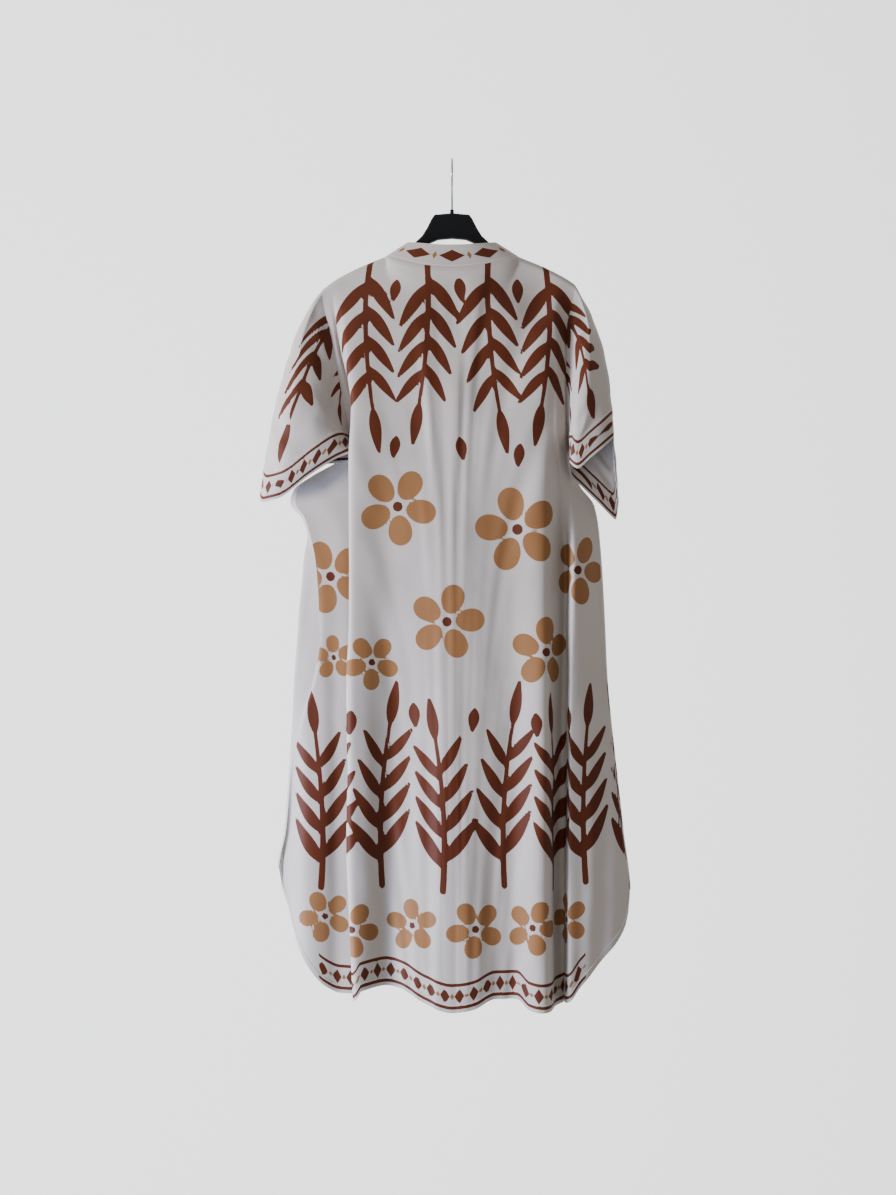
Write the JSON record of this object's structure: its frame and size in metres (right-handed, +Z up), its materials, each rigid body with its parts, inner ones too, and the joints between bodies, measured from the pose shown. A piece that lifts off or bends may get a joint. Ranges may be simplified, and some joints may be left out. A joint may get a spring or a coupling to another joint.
{
  "type": "maxi dress on a hanger",
  "caption": "Loose maxi dress with wide elbow sleeves, neckband and rounded hem, hung on a plastic hanger with a wire hook.",
  "frame": {"origin": "under the top of the hook's arc, on the hanger's middle plane, where a rail carries it", "axes": "+Z up; -Y out of the dress's back, the side in the picture; +X to the right for a viewer of the back"},
  "size_m": [0.5989, 0.1111, 1.3603],
  "materials": {
    "dress_cloth": "satin",
    "hanger_plastic": "matte",
    "hook_steel": "satin"
  },
  "bodies": {
    "root": {"back": "dress_cloth", "front": "dress_cloth", "sleeve_left": "dress_cloth", "sleeve_right": "dress_cloth", "neckband": "dress_cloth", "hanger_body": "hanger_plastic", "hanger_hook": "hook_steel"}
  },
  "joints": []
}
